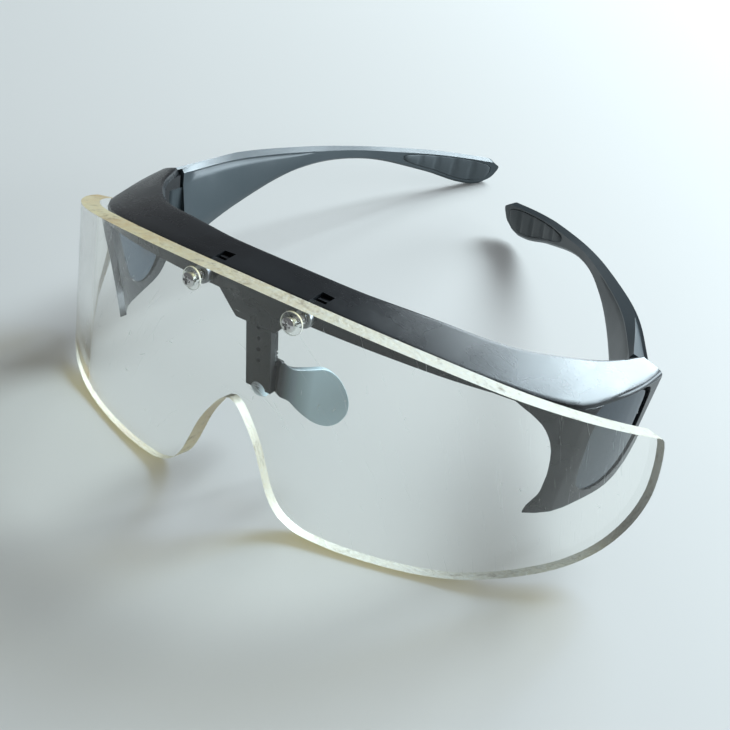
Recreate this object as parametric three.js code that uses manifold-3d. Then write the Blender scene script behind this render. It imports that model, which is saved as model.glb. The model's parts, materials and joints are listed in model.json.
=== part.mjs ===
import * as THREE from 'three';
import { mergeVertices } from 'three/addons/utils/BufferGeometryUtils.js';
import Module from 'manifold-3d';

// X-ray protective glasses: a black spectacle frame with side guards carries a thick, clear,
// single-curved front shield on two screws. All sizes are in millimetres.
// The pieces are modelled in the brow's own frame: x to the wearer's left, y towards the
// wearer's ears, z up from the brow's flat top. The set is then tilted to rest on its lobes.

const wasm = await Module();
wasm.setup();

// Turns and small sizes used everywhere
const degree = Math.PI / 180;
const seat = 0.3;
const runningGap = 0.05;
const overlapStep = 0.6;
const cutMargin = 3;
const turnSegments = 40;
const smallTurnSegments = 24;
const weldTolerance = 1e-4;

// Front shield: one flat cut sheet bent round two radii, bottom tilted forwards
const shieldHalfLength = 94;
const shieldThickness = 4.3;
const shieldMiddleRadius = 125.7;
const shieldEndRadius = 51.8;
const shieldMiddleHalf = 52.4;
const shieldHeight = 50.6;
const shieldTilt = 8.1 * degree;
const shieldFrontY = -4.7;
const shieldTopZ = 2.1;
const shieldEndDrop = 15.8;
const shieldTopPowerShare = 1.9;
const shieldCornerLength = 2.1;
const shieldColumns = 76;
const shieldEndTrim = 0.06;
// The lower outline as shares of the half length and the height, from the nose notch outwards
const shieldLowerShares = [
  [0, 0.508], [0.02, 0.523], [0.05, 0.589], [0.081, 0.68], [0.105, 0.783], [0.127, 0.873],
  [0.155, 0.939], [0.2, 0.984], [0.27, 1], [0.4, 1], [0.55, 0.978], [0.7, 0.916], [0.82, 0.853],
  [0.905, 0.776], [0.963, 0.68], [0.993, 0.58], [1, 0.5],
];

// Shield fastening
const screwHalfSpacing = 12.85;
const screwDrop = 3.6;
const screwShankRadius = 0.95;
const screwHeadRadius = 1.55;
const screwHeadHeight = 1.3;
const screwHeadCrown = 0.55;
const screwLength = 12.4;
const screwHoleRadius = 1.2;
const screwCrownShares = [[0, 0], [0.45, 0.12], [0.78, 0.45], [1, 1]];
const recessWidth = 0.6;
const recessLength = 1.9;
const recessDepth = 0.75;
const washerRadius = 2.5;
const washerThickness = 0.5;
const washerGap = 0.12;
const spacerRadius = 2;
const spacerLength = 1.15;
const nutWidth = 2.6;
const nutThickness = 1.6;
const nutHeight = 3.8;
const nutInset = 5.6;

// Frame front: a flat shelf over a low front wall, both following the shield
const shelfThickness = 1.7;
const shelfEdgeRadius = 1;
const archRadius = 178;
const wallThickness = 2.2;
const wallDepth = 4.4;
const wallArchRadius = 290;
const shelfColumns = 30;
const slotWidth = 3.1;
const slotFloor = 0.9;
const slotBackY = 6.9;
const pocketLength = 2.8;
const pocketDepth = 5.2;
const shelfHalfWidth = 70;
const shelfEndY = 46.2;
const shelfEndWidth = 5.4;
// Half plans of the shelf's front and rear edges as x, y
const frontEdgePlan = [
  [0, 1.3], [20, 2.7], [38, 6.7], [47, 10], [55, 14], [60.6, 17.9], [64.4, 22], [67, 29], [69.2, 38],
  [shelfHalfWidth, shelfEndY],
];
const rearEdgePlan = [
  [0, 12], [16, 13.1], [26, 15.6], [34, 18.2], [41, 20.7], [47.4, 24.2], [54, 30.2], [60.2, 37.6],
  [shelfHalfWidth - shelfEndWidth, shelfEndY],
];

// Side guards: walls that lean inwards below the shelf, each with an open window
const guardLean = 0.15;
const guardDepth = 42;
const guardThickness = 1.4;
const guardStartX = 50;
const guardFrontOutline = [
  [49, -7], [54.6, -11], [58, -15], [59.6, -20], [59.6, -27.4], [58.6, -33.4], [56.4, -38], [56.4, -44],
];
const guardOutline = [
  [8, -4], [10.5, -10], [13.2, -15], [15, -20.5], [15.3, -29], [13.6, -35.8], [15, -38.2], [18.5, -39.1],
  [30, -39.3], [37.5, -38.8], [42, -36], [44.2, -31.5], [45.2, -24], [46.2, -12],
];
const windowOutline = [
  [25.4, -15], [25.2, -26], [26.6, -33.8], [29.6, -36.6], [35.2, -36.8], [39.6, -34.2], [42.2, -29.2],
  [43, -22.4], [42.2, -15.6], [36, -13.4], [28.6, -12.2],
];
const windowTopSkin = 0.8;
const windowPlateThickness = 0.9;
const windowPlateInset = 0.3;
const windowPlateRearGap = 1.3;

// Nose post and the nose piece that slides on it: a plate with a collar and two splayed pads
const humpHalfWidth = 9.6;
const humpBottomHalf = 5;
const humpDrop = 9.6;
const humpDepth = 7.4;
const humpFrontY = 1.4;
const humpWall = 0.9;
const postHalfWidth = 2.2;
const postDepth = 2.1;
const postBottom = 23.6;
const toothDepth = 0.45;
const toothPitch = 0.9;
const toothCount = 3;
const toothTop = 17.2;
const plateHalfWidth = 3.25;
const plateFrontY = 2.5;
const plateThickness = 1.3;
const plateTop = 8.4;
const collarTop = 19.8;
const collarBottom = 26;
const slideGap = 0.15;
const lipThickness = 0.7;
const lipReach = 1.1;
const archHalfWidth = 1.9;
const archTop = 24.4;
const detentRadius = 0.55;
const detentTop = 10.7;
const detentPitch = 2.7;
const detentCount = 4;
const padThickness = 1.7;
const padBevel = 0.28;
const padTurn = 21.5 * degree;
const padLean = 3.3 * degree;
const padPlace = [4.9, 5.9, -20.9];
const padOutline = [[-1.2, -2.2], [1.4, 0.2], [5.6, 1.7], [9.4, 2.8], [12.1, 5.2], [14.3, 9.2], [15.3, 13.4],
  [14.7, 16], [12.8, 17.5], [10.2, 17.6], [7, 15.9], [3.4, 12.2], [0.4, 8], [-2.2, 5.4]];

// Temples, as shares along the length: inward bow, top line and bottom line
const templeLength = 129.3;
const templeCant = 6.7 * degree;
const hingeInset = 4.4;
const hingeBack = 2.5;
const hingeDrop = 4;
const templeStart = 3.2;
const templeBowShares = [0, -0.009, 0.003, 0.024, 0.069, 0.106, 0.155];
const templeTopShares = [0.045, 0.035, 0.013, -0.0172, -0.05, -0.068, -0.088];
const templeBottomShares = [-0.129, -0.073, -0.0295, -0.0435, -0.102, -0.139, -0.157];
const templeKnotShares = [0, 0.2, 0.4, 0.6, 0.8, 0.9, 1];
const templeInner = 2.2;
const templeOuter = 1.8;
const templeTipInner = 1;
const templeColumns = 48;
const templeTipColumns = 6;
const templeEdge = 0.6;
const templeTopBevel = 0.9;
const templeTopFall = 1.3;
const templeFallShare = 0.25;
const templeSlopeStartShare = 0.12;
const templeSlopeShare = 0.85;
const templeSlopeFullShare = 0.21;
const templeLean = 0.17;
const templeFlange = 1.2;
const templeGroove = 3;
const templeGrooveStep = 0.12;
const templeGrooveDepth = 1.6;
const templeBossLength = 8.6;
const templeReliefEndShare = 0.42;
const templeThinEndShare = 0.62;
const templeFacetHeight = 6.4;
const templeFacet = 1.7;
const templeTipStartShare = 0.93;
const templeTipRiseShare = 0.5;
const templeTipPower = 2.2;
const templeTipRound = 2.4;
const templeTipEndShare = 0.2;
const nearFold = 31.5 * degree;
const farFold = 2.4 * degree;

// Hinges
const hingePinRadius = 0.65;
const tongueRadius = 1.7;
const hingeKnuckleRadius = 2.8;
const tongueTop = 0.9;
const tongueBottom = -5.5;
const blockInner = 2.2;
const blockOuter = 6.6;
const blockFront = 6.4;
const blockRear = 2.2;
const blockTop = 4.4;
const blockBottom = -13.2;
const pinTop = 2.7;
const pinBottom = -10.4;

// Grip pads let into the inner faces of the temple tips
const gripStartShare = 0.723;
const gripEndShare = 0.978;
const gripScales = 5;
const gripColumns = 30;
const gripDepth = 0.8;
const gripGap = 0.12;
const gripRaise = 0.5;
const gripEdge = 1.3;
const gripEndPower = 5;
const gripScalePower = 4;
const gripEndHeightShare = 0.35;
const gripRimShare = 0.55;

// Colours and finishes
const finishes = {
  satinBlack: { color: 0x1b1d20, roughness: 0.42, metalness: 0 },
  clearSheet: { color: 0xdfe3d2, roughness: 0.08, metalness: 0, transparent: true, opacity: 0.35 },
  clearWasher: { color: 0xe6ecec, roughness: 0.15, metalness: 0, transparent: true, opacity: 0.4 },
  chromeSteel: { color: 0xc9ccd0, roughness: 0.2, metalness: 1 },
  greySteel: { color: 0x8d9094, roughness: 0.35, metalness: 1 },
  smokePlate: { color: 0x39464f, roughness: 0.25, metalness: 0 },
  gripBlack: { color: 0x141517, roughness: 0.62, metalness: 0 },
};

// Turns a geometry into a closed body that can be joined and cut
function body(geometry) {
  const bare = geometry.index ? geometry.clone() : geometry;
  bare.deleteAttribute('normal');
  bare.deleteAttribute('uv');
  const welded = mergeVertices(bare, weldTolerance);
  const mesh = new wasm.Mesh({
    numProp: 3,
    vertProperties: new Float32Array(welded.attributes.position.array),
    triVerts: new Uint32Array(welded.index.array),
  });
  return new wasm.Manifold(mesh);
}

// Turns a closed body back into a geometry
function shapeOf(solid) {
  const mesh = solid.getMesh();
  const geometry = new THREE.BufferGeometry();
  geometry.setAttribute('position', new THREE.BufferAttribute(new Float32Array(mesh.vertProperties), 3));
  geometry.setIndex(new THREE.BufferAttribute(new Uint32Array(mesh.triVerts), 1));
  geometry.computeVertexNormals();
  return geometry;
}

// Faces a bent block's skin outwards
function facedOut(geometry) {
  const p = geometry.attributes.position;
  const order = geometry.index.array;
  const a = new THREE.Vector3();
  const b = new THREE.Vector3();
  const c = new THREE.Vector3();
  let volume = 0;
  for (let i = 0; i < order.length; i += 3) {
    a.fromBufferAttribute(p, order[i]);
    b.fromBufferAttribute(p, order[i + 1]);
    c.fromBufferAttribute(p, order[i + 2]);
    volume += a.dot(b.cross(c));
  }
  if (volume < 0) {
    for (let i = 0; i < order.length; i += 3) {
      const kept = order[i];
      order[i] = order[i + 1];
      order[i + 1] = kept;
    }
  }
  return geometry;
}

// A block whose length, width and height shares are each carried to a place in space
function bentBlock(along, across, high, carry) {
  const unit = 1;
  const geometry = new THREE.BoxGeometry(unit, unit, unit, along, across, high);
  const p = geometry.attributes.position;
  for (let i = 0; i < p.count; i += 1) {
    const place = carry(p.getX(i) + unit / 2, p.getY(i) + unit / 2, p.getZ(i) + unit / 2);
    p.setXYZ(i, place.x, place.y, place.z);
  }
  return facedOut(geometry);
}

// A smooth line through rows of numbers, read at a share of its length
function lineThrough(rows) {
  const points = rows.map(([x, y]) => new THREE.Vector3(x, y, 0));
  return new THREE.CatmullRomCurve3(points, false, 'centripetal');
}

// A value read from a smooth line over shares
function valueAt(knots, values, share) {
  const last = knots.length - 1;
  let i = 0;
  while (i < last - 1 && share > knots[i + 1]) i += 1;
  const span = knots[i + 1] - knots[i];
  const t = (share - knots[i]) / span;
  const slope = (k) => {
    const low = Math.max(k - 1, 0);
    const high = Math.min(k + 1, last);
    return (values[high] - values[low]) / (knots[high] - knots[low]);
  };
  const t2 = t * t;
  const t3 = t2 * t;
  return (2 * t3 - 3 * t2 + 1) * values[i] + (t3 - 2 * t2 + t) * span * slope(i)
    + (3 * t2 - 2 * t3) * values[i + 1] + (t3 - t2) * span * slope(i + 1);
}

// A closed outline with rounded turns through points
function roundedShape(points) {
  const turns = points.map(([x, y]) => new THREE.Vector3(x, y, 0));
  const curve = new THREE.CatmullRomCurve3(turns, true, 'centripetal');
  const perPoint = 4;
  const around = curve.getPoints(points.length * perPoint).slice(0, -1);
  return new THREE.Shape(around.map((q) => new THREE.Vector2(q.x, q.y)));
}

// An outline in y and z pushed through along x
function sidePrism(shape, fromX, toX) {
  const curveSegments = 3;
  const depth = toX - fromX;
  const geometry = new THREE.ExtrudeGeometry(shape, { depth, bevelEnabled: false, curveSegments });
  const across = new THREE.Vector3(1, 0, 0);
  const along = new THREE.Vector3(0, 1, 0);
  const up = new THREE.Vector3(0, 0, 1);
  geometry.applyMatrix4(new THREE.Matrix4().makeBasis(along, up, across));
  geometry.translate(fromX, 0, 0);
  return body(geometry);
}

// A plain block between two corners
function block(low, high) {
  const geometry = new THREE.BoxGeometry(high[0] - low[0], high[1] - low[1], high[2] - low[2]);
  geometry.translate((low[0] + high[0]) / 2, (low[1] + high[1]) / 2, (low[2] + high[2]) / 2);
  return body(geometry);
}

// A straight round bar along z between two heights
function bar(radius, low, high, segments) {
  const geometry = new THREE.CylinderGeometry(radius, radius, high - low, segments);
  geometry.rotateX(Math.PI / 2);
  geometry.translate(0, 0, (low + high) / 2);
  return geometry;
}

// The shield's bent middle line: place and turn at a distance from the middle
function shieldPlan(s) {
  const reach = Math.abs(s);
  const side = Math.sign(s);
  const firstTurn = Math.min(reach, shieldMiddleHalf) / shieldMiddleRadius;
  const secondTurn = Math.max(reach - shieldMiddleHalf, 0) / shieldEndRadius;
  const turn = firstTurn + secondTurn;
  const middleX = shieldMiddleRadius * Math.sin(firstTurn);
  const middleY = shieldMiddleRadius * (1 - Math.cos(firstTurn));
  const x = middleX + shieldEndRadius * (Math.sin(turn) - Math.sin(firstTurn));
  const y = middleY + shieldEndRadius * (Math.cos(firstTurn) - Math.cos(turn));
  return { x: side * x, y, turn: side * turn };
}

// A place on the bent sheet: distance from the middle, depth below its top, distance behind its front
function onShield(s, drop, behind) {
  const plan = shieldPlan(s);
  const x = plan.x - behind * Math.sin(plan.turn);
  const back = plan.y + behind * Math.cos(plan.turn);
  return new THREE.Vector3(
    x,
    shieldFrontY + back * Math.cos(shieldTilt) - drop * Math.sin(shieldTilt),
    shieldTopZ - back * Math.sin(shieldTilt) - drop * Math.cos(shieldTilt),
  );
}

// Drop of the sheet's top edge, with the rounded outer corner
function shieldTopDrop(reach) {
  const drop = shieldEndDrop * (reach / shieldHalfLength) ** shieldTopPowerShare;
  const into = reach - (shieldHalfLength - shieldCornerLength);
  if (into <= 0) return drop;
  const low = shieldLowerShares[shieldLowerShares.length - 1][1] * shieldHeight;
  const share = Math.min(into / shieldCornerLength, 1);
  return drop + (low - drop) * (1 - Math.sqrt(1 - share * share));
}

function frontShield() {
  const lower = mirrored(shieldLowerShares.map(([a, b]) => [a * shieldHalfLength, b * shieldHeight]));
  const columns = lower.getSpacedPoints(shieldColumns * 2).map((q) => [q.x, q.y]);
  const last = columns.length - 1;
  const sheet = bentBlock(last, 1, 1, (u, v, w) => {
    const [s, low] = columns[Math.round(u * last)];
    const reach = Math.min(Math.abs(s), shieldHalfLength - shieldEndTrim);
    const top = shieldTopDrop(reach);
    const drop = Math.max(low, top + shieldEndTrim);
    return onShield(Math.sign(s) * reach, w > 0.5 ? top : drop, v * shieldThickness);
  });
  let solid = body(sheet);
  for (const side of [-1, 1]) {
    const drill = bar(screwHoleRadius, -cutMargin, shieldThickness + cutMargin, smallTurnSegments);
    solid = solid.subtract(body(drill.applyMatrix4(screwPlace(side))));
  }
  return shapeOf(solid);
}

// Carries z along the screw, from the shield's front face inwards
function screwPlace(side) {
  const inward = new THREE.Vector3(0, Math.cos(shieldTilt), -Math.sin(shieldTilt));
  const across = new THREE.Vector3(1, 0, 0);
  const up = new THREE.Vector3().crossVectors(inward, across);
  const place = new THREE.Matrix4().makeBasis(across, up, inward);
  return place.setPosition(onShield(side * screwHalfSpacing, screwDrop, 0));
}

// The same place, but square to the bent sheet
function washerPlace(side) {
  const turn = shieldPlan(side * screwHalfSpacing).turn;
  return screwPlace(side).multiply(new THREE.Matrix4().makeRotationY(-turn));
}

function screw(side) {
  const under = -washerThickness - 2 * washerGap;
  const clear = screwHeadRadius * Math.sin(shieldPlan(screwHalfSpacing).turn);
  const base = under - clear;
  const top = base - screwHeadHeight;
  const profile = screwCrownShares.map(([r, z]) => [screwHeadRadius * r, top + screwHeadCrown * z]).concat([
    [screwHeadRadius, base], [screwShankRadius, base], [screwShankRadius, base + screwLength],
    [0, base + screwLength],
  ]);
  const lathe = new THREE.LatheGeometry(profile.map(([r, z]) => new THREE.Vector2(r, z)), smallTurnSegments);
  lathe.rotateX(Math.PI / 2);
  let solid = body(facedOut(mergeVertices(lathe, weldTolerance)));
  const wide = recessWidth / 2;
  const long = recessLength / 2;
  solid = solid.subtract(block([-wide, -long, top - cutMargin], [wide, long, top + recessDepth]));
  solid = solid.subtract(block([-long, -wide, top - cutMargin], [long, wide, top + recessDepth]));
  return shapeOf(solid).applyMatrix4(screwPlace(side));
}

function ring(outer, inner, low, high) {
  const solid = body(bar(outer, low, high, turnSegments));
  return solid.subtract(body(bar(inner, low - cutMargin, high + cutMargin, smallTurnSegments)));
}

function washer(side) {
  const rear = -washerGap;
  const disc = ring(washerRadius, screwHoleRadius, rear - washerThickness, rear);
  return shapeOf(disc).applyMatrix4(washerPlace(side));
}

function spacer(side) {
  const clear = spacerRadius * Math.sin(shieldPlan(screwHalfSpacing).turn);
  const start = shieldThickness + clear + washerGap;
  const sleeve = ring(spacerRadius, screwHoleRadius, start, start + spacerLength);
  return shapeOf(sleeve).applyMatrix4(screwPlace(side));
}

function nut(side) {
  const half = nutWidth / 2;
  const tall = nutHeight / 2;
  const start = nutInset - shieldFrontY;
  const plate = block([-half, -tall, start - nutThickness / 2], [half, tall, start + nutThickness / 2]);
  const hole = bar(screwShankRadius + runningGap, start - cutMargin, start + cutMargin, smallTurnSegments);
  return shapeOf(plate.subtract(body(hole))).applyMatrix4(screwPlace(side));
}

// Full plans from one rear end round the front to the other
function mirrored(half) {
  return lineThrough(half.slice(1).reverse().map(([x, y]) => [-x, y]).concat(half));
}

const frontEdge = mirrored(frontEdgePlan);
const rearEdge = mirrored(rearEdgePlan);

function archDrop(x) {
  return (x * x) / (2 * archRadius);
}

// The shelf over the front wall, round along its edges
function shelf() {
  const acrossShares = [0, 0.03, 0.1, 0.3, 0.6, 0.88, 0.97, 1];
  const last = acrossShares.length - 1;
  return body(bentBlock(shelfColumns * 2, last, 1, (u, v, w) => {
    const share = acrossShares[Math.round(v * last)];
    const front = frontEdge.getPointAt(u);
    const rear = rearEdge.getPointAt(u);
    const width = front.distanceTo(rear);
    const place = front.clone().lerp(rear, share);
    const edge = Math.min(share, 1 - share) * width;
    const short = Math.max(1 - edge / shelfEdgeRadius, 0);
    const round = shelfEdgeRadius * (1 - Math.sqrt(1 - short * short));
    const top = -archDrop(place.x);
    place.z = w > 0.5 ? top - round : top - shelfThickness;
    return leaned(place);
  }));
}

// A wall under the shelf's front edge between two heights
function frontWall(fromShare, toShare, inset, thickness, topAt, bottomAt) {
  const columns = Math.round(shelfColumns * 2 * (toShare - fromShare));
  return body(bentBlock(columns, 1, 1, (u, v, w) => {
    const t = fromShare + (toShare - fromShare) * u;
    const place = frontEdge.getPointAt(t);
    const along = frontEdge.getTangentAt(t);
    const inward = new THREE.Vector3(-along.y, along.x, 0);
    const deep = inset + v * thickness;
    place.addScaledVector(inward, deep);
    place.z = w > 0.5 ? topAt(place.x) : bottomAt(place.x);
    return leaned(place);
  }));
}

// The lean of the walls: nothing in the middle, more to the sides and further down
function leaned(place) {
  const below = Math.max(-place.z - archDrop(place.x), 0);
  const farShare = Math.min(Math.abs(place.x) / guardStartX, 1) ** 2;
  place.x -= Math.sign(place.x) * below * guardLean * farShare;
  return place;
}

function wallBottom(x) {
  return -wallDepth - (x * x) / (2 * wallArchRadius);
}

// Share of the front edge where it first passes a given x on the left side
function shareAtX(x) {
  const steps = 400;
  for (let i = 0; i <= steps; i += 1) {
    if (frontEdge.getPointAt(i / steps).x > -x) return i / steps;
  }
  return 0;
}

// Both side guards, cut to their outline
function sideGuards() {
  const corner = shareAtX(guardStartX);
  const top = (x) => -archDrop(x) - shelfThickness / 2;
  const bottom = () => -guardDepth;
  const left = frontWall(0, corner, 0, guardThickness, top, bottom);
  const right = frontWall(1 - corner, 1, 0, guardThickness, top, bottom);
  const outline = new THREE.Shape();
  outline.moveTo(guardOutline[0][0], 0);
  outline.splineThru(guardOutline.map(([y, z]) => new THREE.Vector2(y, z)));
  outline.lineTo(guardOutline[guardOutline.length - 1][0], 0);
  outline.closePath();
  const reach = shieldHalfLength;
  const walls = left.add(right).intersect(sidePrism(outline, -reach, reach));
  return walls.subtract(betweenGuards());
}

// The open room between the guards' front edges, seen from the front
function betweenGuards() {
  const half = guardFrontOutline;
  const points = half.slice().reverse().map(([x, z]) => [-x, z]).concat(half);
  const perPoint = 3;
  const line = lineThrough(points).getPoints(points.length * perPoint);
  const shape = new THREE.Shape(line.map((q) => new THREE.Vector2(q.x, q.y)));
  const geometry = new THREE.ExtrudeGeometry(shape, { depth: guardDepth / 2, bevelEnabled: false });
  geometry.rotateX(Math.PI / 2);
  geometry.translate(0, guardDepth / 2, 0);
  return body(geometry);
}

// The two slots behind the screws, each ending in a deeper nut pocket
function slotCut(side) {
  const half = slotWidth / 2;
  const x = side * screwHalfSpacing;
  const top = cutMargin;
  const channel = block([x - half, -cutMargin, -slotFloor], [x + half, slotBackY, top]);
  const pocket = block([x - half, slotBackY - pocketLength, -pocketDepth], [x + half, slotBackY, top]);
  const drill = bar(screwHoleRadius, 0, screwLength + cutMargin, smallTurnSegments);
  return channel.add(pocket).add(body(drill.applyMatrix4(screwPlace(side))));
}

// Blocks behind the slots that hold the nuts
function nutBoss(side) {
  const half = slotWidth / 2 + wallThickness;
  const x = side * screwHalfSpacing;
  const front = humpFrontY + wallThickness;
  const rear = slotBackY + wallThickness;
  return block([x - half, front, -pocketDepth - overlapStep], [x + half, rear, -shelfThickness / 2]);
}

// The hump under the middle of the brow
function noseHump() {
  const outline = new THREE.Shape();
  const top = -shelfThickness / 2;
  const shoulder = -wallDepth + overlapStep;
  const wide = humpHalfWidth - overlapStep;
  const narrow = humpBottomHalf + overlapStep;
  const bend = shoulder - 2 * overlapStep;
  const foot = -humpDrop + overlapStep;
  outline.moveTo(-humpHalfWidth, top);
  outline.lineTo(-humpHalfWidth, shoulder);
  outline.bezierCurveTo(-wide, bend, -narrow, foot, -humpBottomHalf, -humpDrop);
  outline.lineTo(humpBottomHalf, -humpDrop);
  outline.bezierCurveTo(narrow, foot, wide, bend, humpHalfWidth, shoulder);
  outline.lineTo(humpHalfWidth, top);
  outline.closePath();
  const curveSegments = 8;
  const hump = new THREE.ExtrudeGeometry(outline, { depth: humpDepth, bevelEnabled: false, curveSegments });
  hump.rotateX(Math.PI / 2);
  hump.translate(0, humpFrontY + humpDepth, 0);
  return body(hump);
}

// The hollow in the hump that the nose piece slides into
function noseRoom() {
  const half = plateHalfWidth + seat;
  const front = humpFrontY + humpWall;
  const rear = humpFrontY + humpDepth - humpWall;
  return block([-half, front, -humpDrop - cutMargin], [half, rear, -shelfThickness]);
}

// The toothed post that hangs in the hollow
function nosePost() {
  const postFront = plateFrontY + plateThickness + slideGap;
  const postRear = postFront + postDepth;
  const top = -shelfThickness / 2;
  let solid = block([-postHalfWidth, postFront, -postBottom], [postHalfWidth, postRear, top]);
  for (let i = 0; i < toothCount; i += 1) {
    const low = -toothTop - i * toothPitch - toothPitch / 2;
    for (const side of [-1, 1]) {
      const inner = side * (postHalfWidth - toothDepth);
      const outer = side * (postHalfWidth + cutMargin);
      solid = solid.subtract(block(
        [Math.min(inner, outer), postFront - cutMargin, low],
        [Math.max(inner, outer), postRear + cutMargin, low + toothPitch / 2],
      ));
    }
  }
  return solid;
}

// The block at a guard's rear end that carries the hinge, in the hinge's own frame
function hingeBlock(side) {
  const solid = block([-blockInner, -blockFront, blockBottom], [blockOuter, blockRear, blockTop]);
  return body(placedHinge(shapeOf(solid), side, 0));
}

// What is cut from a hinge block: the tongue's room and the pin's blind bore from below
function hingeCut(side) {
  const room = tongueRadius + seat;
  const low = tongueBottom - seat;
  const high = tongueTop + seat;
  let solid = body(bar(room, low, high, turnSegments));
  solid = solid.add(block([-blockInner - cutMargin, 0, low], [room, blockRear + cutMargin, high]));
  solid = solid.add(block([-blockInner - cutMargin, -room, low], [0, room, high]));
  const bore = bar(hingePinRadius + runningGap, blockBottom - cutMargin, pinTop + seat, smallTurnSegments);
  return body(placedHinge(shapeOf(solid.add(body(bore))), side, 0));
}

// Room behind a hinge for the folding arm's front end, round about the pin
function foldCut(side) {
  const low = -guardDepth;
  const room = block([-guardDepth / 2, -hingeKnuckleRadius / 2, low], [0, guardDepth / 2, guardDepth]);
  const kept = body(bar(hingeKnuckleRadius, low - cutMargin, guardDepth + cutMargin, turnSegments));
  return body(placedHinge(shapeOf(room.subtract(kept)), side, 0));
}

function frameFront() {
  const browShare = shareAtX(guardStartX + wallDepth);
  const browTop = (x) => -archDrop(x) - shelfThickness / 2;
  const brow = frontWall(browShare, 1 - browShare, 0, wallThickness, browTop, wallBottom);
  let solid = shelf().add(brow).add(sideGuards()).add(noseHump()).subtract(noseRoom()).add(nosePost());
  const cornerShare = shareAtX(guardStartX);
  for (const side of [-1, 1]) {
    const from = side < 0 ? 0 : 1 - cornerShare;
    const thick = blockInner + blockOuter;
    const guardRoom = frontWall(from, from + cornerShare, 0, thick, browTop, () => -guardDepth);
    solid = solid.add(nutBoss(side)).add(hingeBlock(side).intersect(guardRoom));
  }
  const deep = cutMargin + guardThickness + overlapStep;
  for (const side of [-1, 1]) {
    solid = solid.subtract(windowRoom(side, windowOutline, windowTopSkin, -cutMargin, deep));
    solid = solid.subtract(slotCut(side)).subtract(hingeCut(side)).subtract(foldCut(side));
  }
  return shapeOf(solid);
}

// The part of a guard's wall inside an outline, from an inset to a thickness, under the shelf's skin
function windowRoom(side, outline, skin, inset, thickness) {
  const corner = shareAtX(guardStartX);
  const from = side > 0 ? 1 - corner : 0;
  const top = (x) => -archDrop(x) - skin;
  const wall = frontWall(from, from + corner, inset, thickness, top, () => -guardDepth);
  const near = side * guardStartX;
  const far = side * shieldHalfLength;
  return wall.intersect(sidePrism(roundedShape(outline), Math.min(near, far), Math.max(near, far)));
}

// The smoked plate in a guard's window, short of the window's rear edge
function windowPlate(side) {
  const middleY = windowOutline.reduce((sum, [y]) => sum + y, 0) / windowOutline.length;
  const middleZ = windowOutline.reduce((sum, [, z]) => sum + z, 0) / windowOutline.length;
  const shrunk = windowOutline.map(([y, z]) => {
    const away = Math.hypot(y - middleY, z - middleZ);
    const share = (away - seat) / away;
    const shift = y > middleY ? windowPlateRearGap : 0;
    return [middleY + (y - middleY) * share - shift, middleZ + (z - middleZ) * share];
  });
  const skin = windowTopSkin + seat;
  return shapeOf(windowRoom(side, shrunk, skin, windowPlateInset, windowPlateThickness));
}

// The nose piece: a front plate with detent holes, a collar round the post and two splayed pads
function nosePiece() {
  const plateRear = plateFrontY + plateThickness;
  const collarInner = postHalfWidth + slideGap;
  const postRear = plateRear + 2 * slideGap + postDepth;
  const lipRear = postRear + lipThickness;
  let solid = block([-plateHalfWidth, plateFrontY, -collarBottom], [plateHalfWidth, plateRear, -plateTop]);
  for (const side of [-1, 1]) {
    const outer = side * plateHalfWidth;
    const inner = side * collarInner;
    const lip = side * (collarInner - lipReach);
    solid = solid.add(block(
      [Math.min(inner, outer), plateFrontY, -collarBottom],
      [Math.max(inner, outer), lipRear, -collarTop],
    ));
    solid = solid.add(block(
      [Math.min(lip, outer), postRear, -collarBottom],
      [Math.max(lip, outer), lipRear, -collarTop],
    ));
    solid = solid.add(nosePad(side));
  }
  const front = plateFrontY - cutMargin;
  const rear = lipRear + cutMargin;
  const springing = -archTop - archHalfWidth;
  const arch = bar(archHalfWidth, front, rear, turnSegments).rotateX(-Math.PI / 2).translate(0, 0, springing);
  const below = block([-archHalfWidth, front, -collarBottom - cutMargin], [archHalfWidth, rear, springing]);
  solid = solid.subtract(body(arch)).subtract(below);
  for (let i = 0; i < detentCount; i += 1) {
    const drill = bar(detentRadius, front, plateRear + cutMargin, smallTurnSegments).rotateX(-Math.PI / 2);
    solid = solid.subtract(body(drill.translate(0, 0, -detentTop - i * detentPitch)));
  }
  return shapeOf(solid);
}

// One leaf-shaped pad, its outline drawn back and down from the saddle's side
function nosePad(side) {
  const geometry = new THREE.ExtrudeGeometry(roundedShape(padOutline), {
    depth: padThickness - 2 * padBevel,
    bevelEnabled: true,
    bevelThickness: padBevel,
    bevelSize: padBevel,
    bevelOffset: -padBevel,
    bevelSegments: 2,
  });
  geometry.translate(0, 0, padBevel - padThickness);
  const flat = Math.cos(padLean);
  const out = new THREE.Vector3(flat * Math.cos(padTurn), -flat * Math.sin(padTurn), Math.sin(padLean));
  const back = new THREE.Vector3(Math.sin(padTurn), Math.cos(padTurn), 0);
  const down = new THREE.Vector3().crossVectors(back, out);
  const place = new THREE.Matrix4().makeBasis(back, down, out).setPosition(...padPlace);
  geometry.applyMatrix4(place);
  if (side < 0) geometry.applyMatrix4(new THREE.Matrix4().makeScale(-1, 1, 1));
  return body(facedOut(mergeVertices(geometry, weldTolerance)));
}

// Lines of a temple at a share of its length
function templeAt(share) {
  const read = (values) => valueAt(templeKnotShares, values, share) * templeLength;
  return { bow: read(templeBowShares), top: read(templeTopShares), bottom: read(templeBottomShares) };
}

// Thickness from the blade's middle line to its plain inner face
function templeInnerAt(share) {
  return templeInner + (templeTipInner - templeInner) * Math.min(share / templeThinEndShare, 1);
}

// Inward lean of a temple below the hinge's level, fading towards the tip
function templeLeanAt(share, z) {
  return templeLean * Math.max(-z, 0) * (1 - share);
}

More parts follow.
